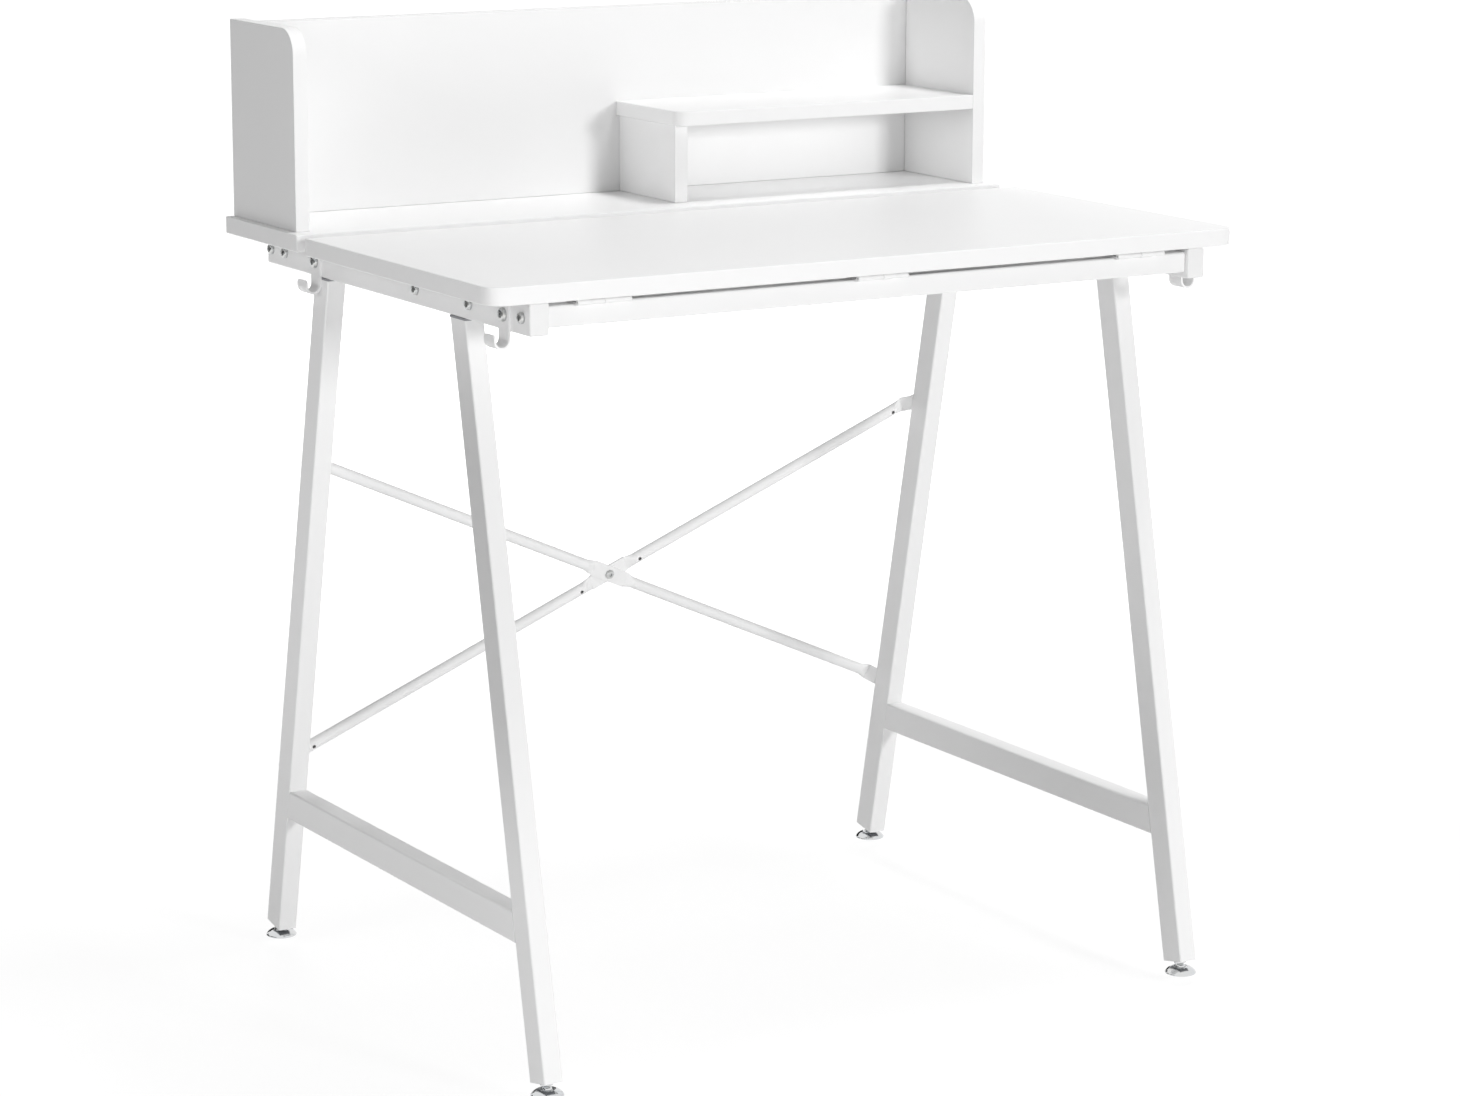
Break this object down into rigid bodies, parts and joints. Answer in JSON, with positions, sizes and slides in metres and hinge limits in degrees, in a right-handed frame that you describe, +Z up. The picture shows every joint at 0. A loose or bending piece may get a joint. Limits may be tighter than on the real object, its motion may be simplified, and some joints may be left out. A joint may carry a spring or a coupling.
{
  "type": "drafting desk",
  "caption": "White drafting desk with a front-hinged tilting top, a low rear hutch with shelf, splayed tube legs, cross brace and side hooks.",
  "frame": {"origin": "on the floor, under the middle of the desk", "axes": "+Z up, +Y to the rear where the hutch stands, +X to the right of a person seated at the front"},
  "size_m": [0.834, 0.6142, 0.957],
  "materials": {
    "white_laminate": "white melamine-faced board, satin",
    "white_powder_coat": "white powder coat, satin",
    "white_plastic": "moulded, fine matt",
    "grey_plastic": "moulded, fine matt",
    "zinc_plated_steel": "bright zinc plate",
    "cast_alloy": "as cast",
    "beech": "plain turned wood",
    "chrome": "bright chrome plate"
  },
  "bodies": {
    "frame": {"brace_bar_falling": "white_powder_coat", "brace_bar_rising": "white_powder_coat", "brace_screws": "zinc_plated_steel", "front_rail": "white_powder_coat", "hinge_left_lower_leaf": "white_powder_coat", "hinge_middle_lower_leaf": "white_powder_coat", "hinge_pins": "zinc_plated_steel", "hinge_rail_screws": "zinc_plated_steel", "hinge_right_lower_leaf": "white_powder_coat", "hook_front_left": "white_powder_coat", "hook_front_right": "white_powder_coat", "hook_rear_left": "white_powder_coat", "hook_rear_right": "white_powder_coat", "hook_screws": "zinc_plated_steel", "hutch_back_panel": "white_laminate", "hutch_dowels": "beech", "hutch_left_panel": "white_laminate", "hutch_right_panel": "white_laminate", "hutch_screws": "zinc_plated_steel", "hutch_shelf": "white_laminate", "leg_bolts": "zinc_plated_steel", "leg_foot_inserts": "grey_plastic", "leg_front_left": "white_powder_coat", "leg_front_right": "white_powder_coat", "leg_rear_left": "white_powder_coat", "leg_rear_right": "white_powder_coat", "leg_top_plugs": "grey_plastic", "nuts": "zinc_plated_steel", "prop_bolts": "zinc_plated_steel", "prop_rest_clips": "white_powder_coat", "prop_spacers": "grey_plastic", "rail_end_caps": "white_plastic", "rail_plugs": "cast_alloy", "rail_screws": "zinc_plated_steel", "rear_board": "white_laminate", "rear_board_screws": "zinc_plated_steel", "rear_rail": "white_powder_coat", "shelf_divider": "white_laminate", "side_rail_left": "white_powder_coat", "side_rail_right": "white_powder_coat", "stretcher_left": "white_powder_coat", "stretcher_right": "white_powder_coat"},
    "top": {"tilting_top": "white_laminate", "hinge_left_upper_leaf": "white_powder_coat", "hinge_middle_upper_leaf": "white_powder_coat", "hinge_right_upper_leaf": "white_powder_coat", "hinge_top_screws": "zinc_plated_steel", "prop_cleats": "white_plastic", "prop_cleat_screws": "zinc_plated_steel"},
    "prop": {"prop_arm_left": "white_powder_coat", "prop_arm_right": "white_powder_coat", "prop_crossbar": "white_powder_coat"},
    "stem_front_left": {"glide_stem_front_left": "chrome"},
    "base_front_left": {"glide_base_front_left": "chrome"},
    "stem_front_right": {"glide_stem_front_right": "chrome"},
    "base_front_right": {"glide_base_front_right": "chrome"},
    "stem_rear_left": {"glide_stem_rear_left": "chrome"},
    "base_rear_left": {"glide_base_rear_left": "chrome"},
    "stem_rear_right": {"glide_stem_rear_right": "chrome"},
    "base_rear_right": {"glide_base_rear_right": "chrome"}
  },
  "joints": [
    {"name": "top_tilt", "type": "hinge", "parent": "frame", "child": "top", "pos_m": [0, -0.2845, 0.7405], "axis": [1, 0, 0], "range_deg": [0, 30]},
    {"name": "prop_swing", "type": "hinge", "parent": "frame", "child": "prop", "pos_m": [0, -0.1698, 0.728], "axis": [1, 0, 0], "range_deg": [0, 55.76]},
    {"name": "stem_front_left_screw", "type": "slide", "parent": "frame", "child": "stem_front_left", "axis": [0, -0.2028, -0.9792], "range_m": [0, 0.008]},
    {"name": "base_front_left_swivel", "type": "hinge", "parent": "stem_front_left", "child": "base_front_left", "pos_m": [-0.367, -0.29109, 0.006], "axis": [1, 0, 0], "range_deg": [-5, 5]},
    {"name": "stem_front_right_screw", "type": "slide", "parent": "frame", "child": "stem_front_right", "axis": [0, -0.2028, -0.9792], "range_m": [0, 0.008]},
    {"name": "base_front_right_swivel", "type": "hinge", "parent": "stem_front_right", "child": "base_front_right", "pos_m": [0.367, -0.29109, 0.006], "axis": [1, 0, 0], "range_deg": [-5, 5]},
    {"name": "stem_rear_left_screw", "type": "slide", "parent": "frame", "child": "stem_rear_left", "axis": [0, 0.2028, -0.9792], "range_m": [0, 0.008]},
    {"name": "base_rear_left_swivel", "type": "hinge", "parent": "stem_rear_left", "child": "base_rear_left", "pos_m": [-0.367, 0.29109, 0.006], "axis": [1, 0, 0], "range_deg": [-5, 5]},
    {"name": "stem_rear_right_screw", "type": "slide", "parent": "frame", "child": "stem_rear_right", "axis": [0, 0.2028, -0.9792], "range_m": [0, 0.008]},
    {"name": "base_rear_right_swivel", "type": "hinge", "parent": "stem_rear_right", "child": "base_rear_right", "pos_m": [0.367, 0.29109, 0.006], "axis": [1, 0, 0], "range_deg": [-5, 5]}
  ],
  "couplings": [
    {"joint": "prop_swing", "follows": "top_tilt", "ratio": 1.8585}
  ]
}
